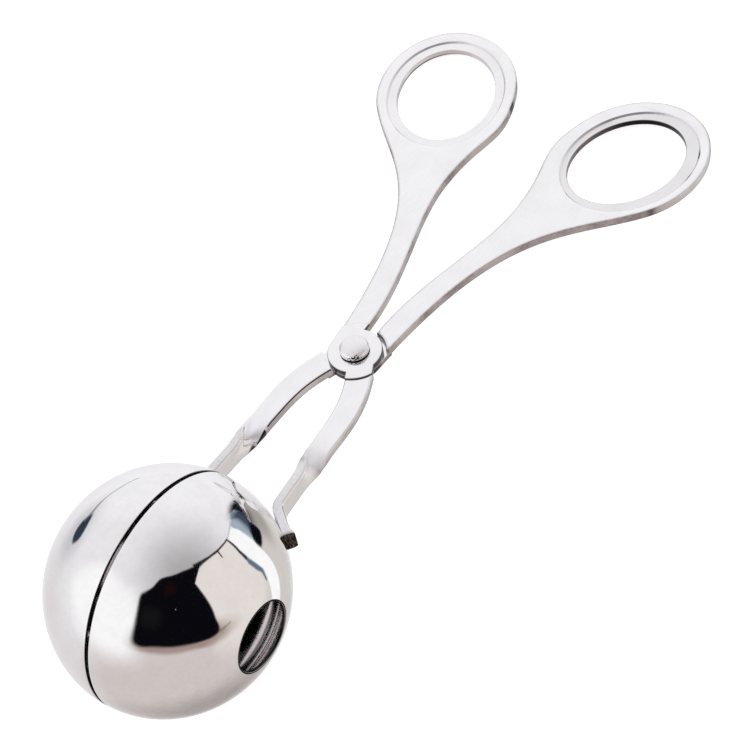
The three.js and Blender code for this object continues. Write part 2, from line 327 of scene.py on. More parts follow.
def makeObject(name, points, faces, values, material):
    mesh = bpy.data.meshes.new(name)
    mesh.from_pydata(points, [], faces)
    for label, value in values.items():
        mesh.attributes.new(label, "FLOAT", "POINT").data.foreach_set("value", value.astype(np.float32))
    mesh.materials.append(material)
    made = bpy.data.objects.new(name, mesh)
    bpy.context.scene.collection.objects.link(made)
    return made


def addPiece(name, shell, material, body, node, sharp=35):
    faces = [face for side in shell["faces"] for face in side.tolist()]
    piece = makeObject(name, shell["points"], faces, shell["values"], material)
    piece.data.shade_smooth()
    piece.data.set_sharp_from_angle(angle=np.radians(sharp))
    # flat faces stay flat beside their rounds
    weighted = piece.modifiers.new("faceNormals", "WEIGHTED_NORMAL")
    weighted.keep_sharp = True
    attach(piece, body)
    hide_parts(node)


# curves in plan
def normalised(vectors):
    return vectors / np.linalg.norm(vectors, axis=-1, keepdims=True)


def circlePoint(angle):
    return np.stack([np.cos(angle), np.sin(angle)], -1)


def curveAt(controls, t):
    # point and unit heading of a cubic curve with four controls at any array of shares
    t = np.asarray(t)[..., None]
    a, b, c, d = controls
    place = (1 - t) ** 3 * a + 3 * t * (1 - t) ** 2 * b + 3 * t ** 2 * (1 - t) * c + t ** 3 * d
    heading = (1 - t) ** 2 * (b - a) + 2 * t * (1 - t) * (c - b) + t ** 2 * (d - c)
    return place, normalised(heading)


def cubic(start, startPull, endPull, end, count):
    return curveAt((start, startPull, endPull, end), np.linspace(0, 1, count))[0]


def oval(centre, halfWidth, halfLength, lean, angle):
    # ellipse whose long axis leans outwards from +Y
    x = halfWidth * np.cos(angle)
    y = halfLength * np.sin(angle)
    return np.stack([x * np.cos(lean) + y * np.sin(lean), y * np.cos(lean) - x * np.sin(lean)], -1) + centre


def arc(radius, start, end, count):
    # anticlockwise about the pivot, from one point's bearing to another's
    first = np.arctan2(start[1], start[0])
    last = np.arctan2(end[1], end[0])
    angle = np.linspace(first, last if last > first else last + 2 * np.pi, count)
    return radius * circlePoint(angle)


def between(path, low, high, count):
    # the stretch of an outgoing path between two radii from the pivot
    reach = np.hypot(path[:, 0], path[:, 1])
    wanted = np.linspace(low, high, count)
    return np.stack([np.interp(wanted, reach, path[:, 0]), np.interp(wanted, reach, path[:, 1])], -1)


def beyond(path, low):
    # an outgoing path from a radius onwards
    reach = np.hypot(path[:, 0], path[:, 1])
    return np.concatenate([between(path, low, low, 1), path[reach > low + 0.01]])


def outwardNormals(path):
    # mitred outward normals of a closed anticlockwise path
    step = normalised(np.roll(path, -1, 0) - path)
    after = np.stack([step[:, 1], -step[:, 0]], -1)
    before = np.roll(after, 1, 0)
    return (before + after) / (1 + (before * after).sum(1, keepdims=True)).clip(0.4)


# handle: outer edge, loop rim and inner edge in plan
loop = Values(
    centre=(21.0, 64.0), lean=np.radians(24.4),
    halfWidth=9.9, halfLength=12.6,
    rimSide=4.35, rimTip=4.8, rimBase=2.9,
    bandWidth=2.1, bandDepth=0.35, bandSlope=0.25, bandRound=0.1,
    holeRaise=0.2, holeRound=0.15, holeSteps=200, rimSteps=240,
    # the hole wall's painted shade is deepest towards one bearing
    boreDark=np.radians(105), boreShade=0.6, stepShade=0.2, strokeSpread=6,
    # a band of painted shade along one edge of the hole wall, towards one bearing
    burrFrom=np.radians(35), burrDepth=0.4, burrFade=0.05,
)
handle = Values(
    gap=1.1, swellOut=8.1, swellBelowLoop=19.6,
    innerJoin=np.radians(183.3), outerJoin=np.radians(-20.2), outerRootLean=np.radians(4),
    gapPull=0.38, swellPullBelow=0.3, swellPullAbove=0.54,
    innerJoinPull=0.49, outerJoinPull=0.25, outerRootPull=0.68, rootShare=0.7,
    outerSteps=120, rootSteps=30, belowSteps=80, aboveSteps=60, shoulderSteps=40,
)
loopAxis = circlePoint(loop.lean)[::-1]
rimCentre = np.array(loop.centre) + loopAxis * (loop.rimTip - loop.rimBase) / 2
rimHalfWidth = loop.halfWidth + loop.rimSide
rimHalfLength = loop.halfLength + (loop.rimTip + loop.rimBase) / 2


def rim(angle):
    return oval(rimCentre, rimHalfWidth, rimHalfLength, loop.lean, angle)


def rimHeading(angle):
    return normalised(rim(angle + 1e-4) - rim(angle - 1e-4))


def handleEdges():
    # outer and inner edge, each from the lap up to the rim, as the stamping's curves
    outerEnd = rim(handle.outerJoin)
    outerRoot = np.array([lap.radius, 0])
    span = np.linalg.norm(outerEnd - outerRoot)
    rootLean = circlePoint(handle.outerRootLean)[::-1]
    outer = cubic(
        outerRoot, outerRoot + handle.outerRootPull * span * rootLean,
        outerEnd - handle.outerJoinPull * span * rimHeading(handle.outerJoin), outerEnd,
        handle.outerSteps,
    )
    innerEnd = rim(handle.innerJoin)
    swell = np.array([handle.swellOut, loop.centre[1] - handle.swellBelowLoop])
    root = np.array([handle.gap, lap.radius])
    rise = np.array([0, swell[1] - root[1]])
    join = np.array([0, innerEnd[1] - swell[1]])
    rootRise = np.linspace(handle.rootShare * lap.radius, lap.radius, handle.rootSteps)
    straight = np.stack([np.full(len(rootRise), handle.gap), rootRise], -1)
    swellPull = swell - handle.swellPullBelow * rise
    below = cubic(root, root + handle.gapPull * rise, swellPull, swell, handle.belowSteps)
    innerPull = innerEnd + handle.innerJoinPull * join[1] * rimHeading(handle.innerJoin)
    abovePull = swell + handle.swellPullAbove * join
    above = cubic(swell, abovePull, innerPull, innerEnd, handle.aboveSteps)
    return outer, np.concatenate([straight[:-1], below[:-1], above])


def edgeProfile(low, high, lowRound, highRound, inset):
    # rows of (inset, height, cut) down a sheet's edge: quarter round, flat cut, quarter round
    angle = np.linspace(0, np.pi / 2, steel.roundSteps + 1)
    back = 1 - np.sin(angle)
    drop = 1 - np.cos(angle)
    shade = np.sin(angle)
    upper = np.stack([highRound * back + inset, high - highRound * drop, shade], -1)
    lower = np.stack([lowRound * back + inset, low + lowRound * drop, shade], -1)[::-1]
    return np.concatenate([upper, lower])


def withEdgeLine(profile):
    # a plate's edge profile with painted shade over it and a line of painted shade on both faces beside it
    line = profile[[0, -1]] + (steel.edgeLine, 0, 0)
    outlineShaded = profile + (0, 0, steel.edgeDull)
    return np.concatenate([line[:1], outlineShaded, line[1:]]).clip(None, (np.inf, np.inf, 1))


def plateShell(outline, profile, hole, edgeShade, edgeTone=1.0):
    # a flat plate: the edge profile carried round its outline, rows of points down its hole, two flat fills
    normals = outwardNormals(outline)
    edgeRows = [
        (outline - inset * normals, height, cut * edgeTone, edgeShade) for inset, height, cut in profile
    ]
    points, faces, cuts, shadeValues, tops, bottoms = [], [], [], [], [], []
    start = 0
    for rows in (edgeRows, hole):
        count = len(rows[0][0])
        for path, height, cut, bore in rows:
            points.append(np.column_stack([path, np.full(count, height)]))
            cuts.append(np.full(count, cut))
            shadeValues.append(np.full(count, bore))
        quads = gridFaces(len(rows), count, False, True) + start
        faces.append(quads[:, ::-1] if rows is edgeRows else quads)
        tops.append(np.arange(count) + start)
        bottoms.append(np.arange(count) + start + count * (len(rows) - 1))
        start += count * len(rows)
    points = np.concatenate(points)
    for rings, upwards in ((tops, True), (bottoms, False)):
        order = np.concatenate(rings)
        loops = [[Vector(point) for point in points[ring]] for ring in rings]
        fill = order[np.array(tessellate_polygon(loops))]
        one, two, three = (points[fill[:, corner], :2] for corner in range(3))
        turn = np.cross(two - one, three - one)
        flip = (turn > 0) != upwards
        fill[flip] = fill[flip][:, ::-1]
        faces.append(fill[np.abs(turn) > 1e-9])
    cuts, shadeValues, none = np.concatenate(cuts), np.concatenate(shadeValues), np.zeros(len(points))
    values = {"cutEdgeAndShade": cuts, "bore": shadeValues, "weldBurnAndShade": none, "worn": none}
    return {"points": points, "faces": faces, "values": values}


def handleShell(outer, inner, arm):
    # handle plate beyond the lap's shoulder, with the loop's hole and its coined band on both faces
    half = steel.sheet / 2
    outerEdge = beyond(outer, lap.recess + lap.blunt)
    innerEdge = beyond(inner, lap.recess)
    rimAngle = np.linspace(handle.outerJoin, handle.innerJoin, loop.rimSteps)[1:-1]
    rimArc = rim(rimAngle)
    shoulder = arc(lap.recess, outerEdge[0], innerEdge[0], handle.shoulderSteps)[::-1]
    outline = np.concatenate([outerEdge, rimArc, innerEdge[::-1], shoulder[1:]])
    angle = np.linspace(0, 2 * np.pi, loop.holeSteps, endpoint=False)
    centre = np.array(loop.centre) + loopAxis * loop.holeRaise
    # painted shade on the hole wall, deepest towards one bearing
    facing = np.cos(angle - loop.boreDark).clip(0, 1)
    shade = arm.bore * (loop.boreShade + loop.boreShade * facing).clip(0, 1)

    def holeRow(grow, height, cut, shift=0.0, dark=shade):
        halves = loop.halfWidth + grow, loop.halfLength - loop.holeRaise + grow
        middle = centre + np.array(arm.bandShift) * shift
        return oval(middle, *halves, loop.lean, angle), height, cut, dark

    # the band's step gets painted shade towards one bearing, and is darker at its strokes
    floor = half - loop.bandDepth
    width, slope, soft = loop.bandWidth, loop.bandSlope, loop.bandRound
    facing = np.cos(angle - np.radians(arm.stepFrom)).clip(0, 1)
    step = loop.stepShade + arm.step * facing ** 4
    for bearing in arm.strokes:
        step += np.exp(-((np.degrees(angle) - bearing) / loop.strokeSpread) ** 2)
    stepPaintedShade = (step - 0.5).clip(0, 1)
    step = step.clip(0, 1)
    upper = [
        holeRow(width + soft, half, 0, 1), holeRow(width, half - soft / 2, step, 1, stepPaintedShade),
        holeRow(width - slope, floor + soft / 2, step, 1, stepPaintedShade),
        holeRow(width - slope - soft, floor, arm.band, 1),
    ]
    wall = edgeProfile(-floor, floor, loop.holeRound, loop.holeRound, 0)
    wallEdgeShadeTop = floor - loop.burrDepth
    wallEdgeShadeEnd = wallEdgeShadeTop - loop.burrFade
    wall = np.insert(wall, len(wall) // 2, [[0, wallEdgeShadeTop, 1], [0, wallEdgeShadeEnd, 1]], 0)
    # a band of painted shade along one edge of the hole wall, towards one bearing
    burr = arm.burr * np.cos(angle - loop.burrFrom).clip(0, 1)
    wallRows = []
    for grow, height, cut in wall:
        dark = np.maximum(shade, burr * (height > wallEdgeShadeEnd))
        tone = np.maximum(cut * arm.boreCut, cut * dark).clip(arm.band)
        wallRows.append(holeRow(grow, height, tone, 0, dark))
    lower = [(path, -height, cut, dark) for path, height, cut, dark in upper[::-1]]
    profile = withEdgeLine(edgeProfile(-half, half, arm.lowRound, arm.highRound, steel.inset))
    # dark spots painted along the outline's edge
    marks = np.zeros(len(outline))
    for place, size, strength in arm.marks:
        marks += strength * np.exp(-((outline - place) ** 2).sum(1) / size ** 2)
    edgeTone = np.ones(len(outline))
    # painted light: the rim's edge wall is lighter over a range of bearings
    rimPaintedLight = np.interp(np.degrees(rimAngle), arm.lightFrom, [1, arm.light, arm.light, 1])
    edgeTone[len(outerEdge):len(outerEdge) + len(rimArc)] = rimPaintedLight
    edgeTone = np.maximum(edgeTone, marks.clip(0, 1))
    return plateShell(outline, profile, upper + wallRows + lower, marks.clip(0, 1), edgeTone)


def lapShell(outer, inner, jawOuter, jawInner, arm):
    # lap pushed half through the sheet: its disc and the stubs under the handle's and the jaw's roots
    low, high = lap.radius, lap.boss
    stubs = [between(path, low, high, lap.stubSteps) for path in (outer, inner, jawOuter, jawInner)]
    handleOuter, handleInner, jawLeft, jawRight = stubs
    turns = [
        jawRight[::-1], arc(low, jawRight[0], handleOuter[0], lap.rightSteps),
        handleOuter, arc(high, handleOuter[-1], handleInner[-1], lap.endSteps),
        handleInner[::-1], arc(low, handleInner[0], jawLeft[0], lap.leftSteps),
        jawLeft, arc(high, jawLeft[-1], jawRight[-1], lap.endSteps),
    ]
    outline = np.concatenate([turn[:-1] for turn in turns])
    angle = np.linspace(0, 2 * np.pi, lap.holeSteps, endpoint=False)
    circle = lap.hole * circlePoint(angle)
    lapFace = -lap.gap / 2
    flare, edge = lap.holeFlare, lap.holeEdge
    rows = [(flare, lapFace, 0), (1, lapFace - edge, 1), (1, edge - bossFace, 1), (flare, -bossFace, 0)]
    hole = [(circle * grow, height, cut, 1) for grow, height, cut in rows]
    profile = edgeProfile(-bossFace, lapFace, arm.bossRound, lap.faceRound, 2 * steel.inset)
    # painted shade on the lap's edge walls and in its hole, less on the lower arm's stubs
    lapEdgeShade = np.where(np.hypot(*outline.T) > low + 0.05, arm.stubTone, lap.tone)
    return plateShell(outline, profile, hole, lapEdgeShade)


# jaw: flat root, quarter twist, bend and foot
jaw = Values(
    lean=np.radians(28), offset=1.4, rootShare=0.6, rootWidth=5.2, width=4.5,
    pull=9.8, twistOut=6.95, twistDrop=22.0, twistLength=6.0, twistPull=6.0,
    footBearing=np.radians(33), footPressed=np.radians(40), footHeel=5.3, footToe=1.8,
    # the feet's faces towards the ball darken along their length as painted shade
    footGap=0.3, footSteps=8, footBurn=(0.1, 0.9), toeBurn=(0.5, 1.0), bendRadius=3.5,
    toeBevel=0.08, toeSplay=0.6, splayLength=2.2, edgeRound=0.45, faceSteps=7,
    # the twist's narrow faces get painted light as they turn up
    twistLead=1.5, twistTail=2.5, polish=0.6, wallTone=0.7, tarnish=0.06,
    darkStart=0.8, darkEnd=3.6, wornAt=2.5, wornOver=3.0,
    footTop=0.3, lineEdge=0.4, foldEdge=0.3,  # shares of a normal that bound the marks
    edgeSteps=120, samples=300, rootRings=60, straightRings=90, bendRings=20,
)


def jawLines():
    # the jaw's centre line in plan: flat curve, straight line with the twist, bend and foot
    heading = -circlePoint(jaw.lean)[::-1]
    outwards = circlePoint(jaw.lean) * (-1, 1)
    start = heading * jaw.rootShare * lap.radius + outwards * jaw.offset
    normal = circlePoint(jaw.footBearing)[::-1] * (-1, 1)
    along = -circlePoint(jaw.footBearing)
    halves = np.array([ball.depth, ball.radius])
    contact = halves ** 2 * normal / np.linalg.norm(halves * normal) - (0, ball.drop)
    foot = contact + normal * (jaw.footGap + steel.sheet / 2)
    corner = foot - along * jaw.footHeel
    pressed = -circlePoint(jaw.footPressed)
    toe = corner + pressed * (jaw.footHeel + jaw.footToe)
    twistStart = np.array([-jaw.twistOut, -jaw.twistDrop])
    down = normalised(corner - twistStart)
    bend = jaw.bendRadius * np.tan(np.arccos(down @ pressed) / 2)
    flat = (start, start + heading * jaw.pull, twistStart - down * jaw.twistPull, twistStart)
    return flat, twistStart, corner - down * bend, corner, corner + pressed * bend, toe


def leftOf(heading):
    # the jaw's outer side in plan
    return np.stack([heading[..., 1], -heading[..., 0]], -1)


def jawEdges(flat):
    # outer and inner edge of the flat root
    t = np.linspace(0, 1, jaw.edgeSteps)
    place, heading = curveAt(flat, t)
    reach = (jaw.rootWidth + (jaw.width - jaw.rootWidth) * t)[:, None] / 2
    return place + leftOf(heading) * reach, place - leftOf(heading) * reach


def sectionCorners():
    # rounded rectangle: shares of its half sides and round offsets, from the top of its outer edge on
    turn = np.linspace(0, np.pi / 2, steel.roundSteps + 1)
    middle = np.linspace(1, -1, jaw.faceSteps + 2)[1:-1]
    upper = np.concatenate([np.ones(len(turn)), middle, -np.ones(len(turn))])
    angle = np.concatenate([turn, np.full(len(middle), np.pi / 2), turn + np.pi / 2])
    side = np.concatenate([upper, -upper])
    face = np.repeat([1, -1], len(upper))
    angle = np.concatenate([angle, angle + np.pi])
    return side, face, np.cos(angle), np.sin(angle)


def jawShell(arm):
    # rounded section carried down the centre line; its root starts on the lap's shoulder
    flat, twistStart, bendStart, corner, bendEnd, toe = jawLines()
    side, face, cosine, sine = sectionCorners()
    rounding = jaw.edgeRound
    half = steel.sheet / 2

    def rings(place, heading, twist, width, shrink=0.0, splay=0.0):
        across = side * (width[:, None] / 2 - rounding - shrink) + rounding * cosine
        through = face * (half - rounding - shrink) + rounding * sine - splay * (-sine).clip(0, 1)
        outer = leftOf(heading)
        flatPart = across * np.cos(twist) - through * np.sin(twist)
        height = across * np.sin(twist) + through * np.cos(twist)
        plan = place + outer * flatPart[..., None]
        return np.concatenate([plan, height[..., None]], -1)

    # flat root: each line along the bar starts where it leaves the shoulder's circle
    sample = np.linspace(0, 1, jaw.samples)
    place, heading = curveAt(flat, sample)
    rootAcross = side * (jaw.rootWidth / 2 - rounding) + rounding * cosine
    lines = place[:, None] + leftOf(heading)[:, None] * rootAcross[None, :, None]
    reach = np.linalg.norm(lines, axis=-1)
    blunted = (4 * rootAcross / jaw.rootWidth - 1).clip(0, 1)  # the outer corner clears the other handle
    starts = lap.recess + lap.blunt * blunted
    first = np.array([np.interp(starts[k], reach[:, k], sample) for k in range(len(side))])
    share = np.linspace(0, 1, jaw.rootRings)[:, None]
    t = first + (1 - first) * share
    rootPlace, rootHeading = curveAt(flat, t)
    rootWidth = jaw.rootWidth + (jaw.width - jaw.rootWidth) * t.mean(1)

    # the rest: straight stretches and one quadratic bend
    def straight(start, end, count):
        return start + (end - start) * np.linspace(0, 1, count)[1:, None]

    t = np.linspace(0, 1, jaw.bendRings)[1:, None]
    bent = (1 - t) ** 2 * bendStart + 2 * t * (1 - t) * corner + t ** 2 * bendEnd
    foot = straight(bendEnd, toe, jaw.footSteps)
    spine = np.concatenate([straight(twistStart, bendStart, jaw.straightRings), bent, foot])
    heading = normalised(np.gradient(np.concatenate([[twistStart], spine]), axis=0)[1:])

    # the quarter twist eases in before the straight stretch and out along it
    # it lags in the middle of a face, and a crease power under 1 sharpens it halfway
    middle = rootPlace.mean(1)
    before = -np.linalg.norm(middle - twistStart, axis=1)
    after = np.linalg.norm(spine - twistStart, axis=1)
    far = jaw.twistLength + jaw.twistTail
    lag = arm.twistLag * (1 - side ** 2) ** 2
    passed = np.concatenate([before, after])[:, None] + jaw.twistLead - lag
    travel = (passed / (far + jaw.twistLead)).clip(0, 1)
    apart = 2 * travel - 1
    travel = 0.5 + 0.5 * np.sign(apart) * np.abs(apart) ** arm.crease
    turned = 3 * travel ** 2 - 2 * travel ** 3
    rootCount = len(middle)
    width = np.full(len(spine), jaw.width)
    quarter = turned * np.pi / 2
    rootRings = rings(rootPlace, rootHeading, quarter[:rootCount], rootWidth)
    splay = jaw.toeSplay * (1 - (after[-1] - after) / jaw.splayLength).clip(0, 1)[:, None] ** 2
    body = rings(spine[:, None], heading[:, None], quarter[rootCount:], width, 0.0, splay)
    bevel = jaw.toeBevel
    end = (spine[-1:] + heading[-1:] * bevel)[:, None]
    tip = rings(end, heading[-1:, None], quarter[-1:], width[-1:], bevel, jaw.toeSplay)

    grid = np.concatenate([rootRings, body, tip])
    count = len(side)
    points = grid.reshape(-1, 3)
    pair = np.arange(count // 2 - 1)
    cap = np.stack([pair, pair + 1, count - 2 - pair, count - 1 - pair], -1)
    last = count * (len(grid) - 1)
    faces = [gridFaces(len(grid), count, False, True)[:, ::-1], cap[:, ::-1], cap + last]
    turned = np.concatenate([turned, turned[-1:]])
    burn = jaw.tarnish * turned * sine ** 2
    # painted shade on the foot's face towards the ball, so the ball mirrors it dark
    footRows = len(grid) - 1 - jaw.footSteps + np.arange(jaw.footSteps)
    burn[footRows] = np.linspace(*jaw.footBurn, len(footRows))[:, None] * (sine > jaw.footTop)
    burn[-2:] = np.array(jaw.toeBurn)[:, None]
    # painted light: the narrow faces lose the cut-edge colour as the twist turns them up
    cut = jaw.wallTone * (1 - jaw.polish * turned) * cosine ** 2
    # a dark line of painted shade runs along the root's inner upper edge, and over the inner edge where the
    # twist starts
    dark = np.zeros((len(grid), count))
    dark[:rootCount] = (cosine < -jaw.lineEdge) & (sine > jaw.lineEdge)
    along = np.concatenate([before, after, after[-1:]])[:, None]
    dark += (along > jaw.darkStart) & (along < jaw.darkEnd) & (cosine < -jaw.foldEdge)
    dark = arm.jawLine * dark.clip(0, 1)
    worn = arm.worn * np.exp(-((along - jaw.wornAt) / jaw.wornOver) ** 2) * np.ones(count)
    values = {
        "cutEdgeAndShade": np.maximum(cut, dark).ravel(), "bore": dark.ravel(),
        "weldBurnAndShade": burn.ravel(), "worn": worn.ravel(),
    }
    return {"points": points, "faces": faces, "values": values}


def outwardShell(shell):
    # turns a closed shell's faces outwards if its signed volume is negative
    points = shell["points"]
    volume = 0.0
    for side in shell["faces"]:
        one = points[side[:, 0]]
        for k in range(1, side.shape[1] - 1):
            volume += (one * np.cross(points[side[:, k]], points[side[:, k + 1]])).sum()
    if volume < 0:
        shell["faces"] = [side[:, ::-1] for side in shell["faces"]]
    return shell


# the two arms are one stamping; their rounds, loop bands and painted shade and light differ a little
arms = {
    "lower_arm": Values(
        body="lower_half", turnedOver=False, lowRound=0.55, highRound=0.3, bossRound=0.3,
        bandShift=(0.7, 0.1), band=0.12, bore=1.0, boreCut=1.0, jawLine=1.0,
        stubTone=0.15, marks=[((31.8, 55.2), 1.0, 0.85)], burr=0.0,
        step=0.7, stepFrom=150, strokes=[26, 52], twistLag=1.6, crease=0.75, worn=0.0,
        light=0.5, lightFrom=(-20, 12, 50, 80),
    ),
    "upper_arm": Values(
        body="upper_half", turnedOver=True, lowRound=0.3, highRound=0.55, bossRound=0.16,
        bandShift=(0.0, 0.0), band=0.05, bore=0.08, boreCut=0.35, jawLine=0.0,
        stubTone=0.88, marks=[((7.4, 66.8), 0.9, 3.0)], burr=1.0,
        step=0.5, stepFrom=62, strokes=[], twistLag=1.0, crease=0.65, worn=1.0,
        light=0.25, lightFrom=(100, 125, 170.5, 172.5),
    ),
}


def makeArms():
    outer, inner = handleEdges()
    jawOuter, jawInner = jawEdges(jawLines()[0])
    material = armSteel()
    for name, arm in arms.items():
        lapPlate = lapShell(outer, inner, jawOuter, jawInner, arm)
        plates = [handleShell(outer, inner, arm), lapPlate, jawShell(arm)]
        shell = joined([outwardShell(plate) for plate in plates])
        shell["points"] = toRow(shell["points"], arm.turnedOver)
        addPiece(name + "_steel", shell, material, arm.body, name)


makeArms()
print("arms made")


# cups: half an oval shell turned about the ball's axis, with round lips at the rim and the drain hole
cup = Values(steps=192, rows=72, lipRows=7, lip=0.16, ringDepth=8.1, ringHalf=1.35, brim=0.06)


def cupShell():
    # walls lie half a wall to each side of a middle oval; each lip is a squared half round between them
    half = ball.wall / 2
    midRadius = ball.radius - half
    midDepth = ball.depth - half
    rimAngle = np.arcsin((ball.rimGap / 2 + cup.lip) / midDepth)
    drainAngle = np.arccos((ball.drain + cup.lip) / midRadius)
    angle = np.linspace(rimAngle, drainAngle, cup.rows)
    lipTurn = np.linspace(np.pi / 2, -np.pi / 2, cup.lipRows + 2)[1:-1]
    angles = np.concatenate([
        angle, np.full(cup.lipRows, drainAngle), angle[::-1], np.full(cup.lipRows, rimAngle),
    ])
    side = np.concatenate([
        np.ones(cup.rows), np.sin(lipTurn), -np.ones(cup.rows), np.sin(-lipTurn),
    ])
    lip = np.concatenate([
        np.zeros(cup.rows), np.sqrt(np.cos(lipTurn)), np.zeros(cup.rows), -np.sqrt(np.cos(lipTurn)),
    ]) * cup.lip
    radius = midRadius * np.cos(angles)
    depth = midDepth * np.sin(angles)
    normal = normalised(circlePoint(angles) / (midRadius, midDepth))
    radius = radius + half * side * normal[:, 0] - lip * normal[:, 1]
    depth = depth + half * side * normal[:, 1] + lip * normal[:, 0]
    turn = np.linspace(0, 2 * np.pi, cup.steps, endpoint=False)
    points = np.stack(np.broadcast_arrays(
        -depth[:, None], radius[:, None] * np.cos(turn) - ball.drop, radius[:, None] * np.sin(turn),
    ), -1).reshape(-1, 3)
    inside = np.repeat((1 - side) / 2, cup.steps)
    # the lips at the rim and the drain hole are painted nearly black as shade, all but their outer round
    rimShade = np.repeat(np.abs(lip) / cup.lip, cup.steps) * (inside > cup.brim)
    # a ring of painted shade inside each cup, seen through the drain holes
    drawRing = np.repeat(np.exp(-((depth - cup.ringDepth) / cup.ringHalf) ** 4), cup.steps)
    return {
        "points": points,
        "faces": [gridFaces(len(angles), cup.steps, True, True)],
        "values": {"inside": inside, "lip": rimShade, "drawRing": drawRing},
    }


def makeCups():
    shell = outwardShell(cupShell())
    material = cupSteel()
    for name, body, turnedOver in (("left_cup", "lower_half", False), ("right_cup", "upper_half", True)):
        placed = dict(shell, points=toRow(shell["points"], turnedOver))
        addPiece(name + "_steel", placed, material, body, name, sharp=50)


makeCups()
print("cups made")


# rivet: domed head over a short rim, shank, and a peened tail below
rivet = Values(
    shank=2.0, overhang=0.85, rim=0.75, dome=1.0, tail=0.9, clearance=0.08,
    edge=0.3, tailFlat=0.3, steps=96, rows=25, edgeRows=7,
    pitBearing=np.radians(-55), pitFrom=0.45, pitGain=1.8, grimeRise=0.3,
)


def rivetShell():
    # profile of (radius, height) turned about the pivot's axis, with a small flat at each end
    head = rivet.shank + rivet.overhang
    seat = bossFace + rivet.clearance
    quarter = np.linspace(0, np.pi / 2, rivet.rows)[:-1]
    dome = np.stack([head * np.cos(quarter), seat + rivet.rim + rivet.dome * np.sin(quarter)], -1)
    corner = np.linspace(-np.pi / 2, 0, rivet.edgeRows)
    edge = rivet.edge
    under = np.stack([head - edge + edge * np.cos(corner), seat + edge + edge * np.sin(corner)], -1)
    tailHalf = rivet.tail / 2
    bulge = np.linspace(-np.pi / 2, np.pi / 2, rivet.rows)[1:]
    tail = np.stack([
        head - tailHalf + tailHalf * np.cos(bulge), -seat - tailHalf + tailHalf * np.sin(bulge),
    ], -1)
    bottom = np.array([[rivet.tailFlat, -seat - rivet.tail]])
    shank = np.array([[rivet.shank, -seat], [rivet.shank, seat]])
    profile = np.concatenate([bottom, tail, shank, under, dome])
    turn = np.linspace(0, 2 * np.pi, rivet.steps, endpoint=False)
    points = np.stack(np.broadcast_arrays(
        profile[:, :1] * np.cos(turn), profile[:, :1] * np.sin(turn), profile[:, 1:],
    ), -1).reshape(-1, 3)
    last = rivet.steps * (len(profile) - 1)
    ring = np.arange(rivet.steps)[None]
    faces = [gridFaces(len(profile), rivet.steps, False, True), ring[:, ::-1], ring + last]
    outward = (profile[:, :1] / head - rivet.pitFrom).clip(0, 1) * rivet.pitGain
    facing = np.cos(turn - rivet.pitBearing).clip(0, 1) ** 3
    pits = (outward * facing).clip(0, 1)
    # painted shade under the head, on its lower round and the shank's upper half
    grime = (profile[:, 1:] < seat + rivet.grimeRise) * (profile[:, 1:] > 0) * np.ones(rivet.steps)
    return {"points": points, "faces": faces, "values": {"pits": pits.ravel(), "grime": grime.ravel()}}


rivetPiece = outwardShell(rivetShell())
rivetPiece["points"] = toRow(rivetPiece["points"])
addPiece("pivot_rivet_steel", rivetPiece, rivetSteel(), "lower_half", "pivot_rivet")
print("rivet made")


# stage: a white table, and around it a white tent whose panels and opening only the steel sees
tableLook = Values(
    reach=2.0, paper=(0.86, 0.86, 0.86, 1), lift=0.5,
    dish=(0.0427, -0.0409), dishReach=0.030, dishDepth=0.0036,  # metres
    steps=64, rings=20,
)
tentLook = Values(reach=3.0, step=0.05, cloth=(0.915, 0.905, 0.935, 1))  # metres from the ball
cardMesh = Values(passes=8, curveSteps=4, innerRings=5, glowSteps=48, glowRings=18)


def makeTable():
    # a flat sheet with a shallow dish where the opened cup swings
    # the dish sinks by its depth times the square of 1 - share ** 2
    around = np.linspace(0, 2 * np.pi, tableLook.steps, endpoint=False)
    rings = np.linspace(0.01, 1, tableLook.rings)
    share = np.append(rings, tableLook.reach / tableLook.dishReach)[:, None]
    out = share * tableLook.dishReach
    drop = tableLook.dishDepth * (1 - share ** 2).clip(0) ** 2
    x, y = tableLook.dish
    points = np.stack(np.broadcast_arrays(x + out * np.cos(around), y + out * np.sin(around), -drop), -1)
    faces = gridFaces(len(share), len(around), False, True)[:, ::-1].tolist() + [list(range(len(around)))]
    look = Finish(bpy.data.materials.new("tablePaper"))
    seen = look.add("ShaderNodeLightPath", output="Is Camera Ray")
    paper = look.add("ShaderNodeBsdfDiffuse", {}, {"Color": tableLook.paper})
    lift = look.add("ShaderNodeEmission", {}, {"Strength": seen * tableLook.lift})
    material = look.surface(look.add("ShaderNodeAddShader", {}, {0: paper, 1: lift}))
    table = makeObject("table", points.reshape(-1, 3), faces, {}, material)
    table.visible_glossy = False  # the steel sees the tent's own lower panels instead


def makeTent():
    world = bpy.data.worlds.new("tent")
    bpy.context.scene.world = world
    look = Finish(world)
    inSteel = look.add("ShaderNodeLightPath", output="Is Glossy Ray")
    cloth = look.mix(inSteel, (1, 1, 1, 1), tentLook.cloth)
    background = look.add("ShaderNodeBackground", {}, {"Color": cloth, "Strength": 1.0})
    look.add("ShaderNodeOutputWorld", {}, {"Surface": background})
    world.cycles.sampling_method = "NONE"


def direction(bearing, height):
    # unit vector at a bearing from +Y towards +X and a height above the horizon, in degrees
    bearing, height = np.radians(bearing), np.radians(height)
    level = np.cos(height)
    return np.stack([np.sin(bearing) * level, np.cos(bearing) * level, np.sin(height)], -1)


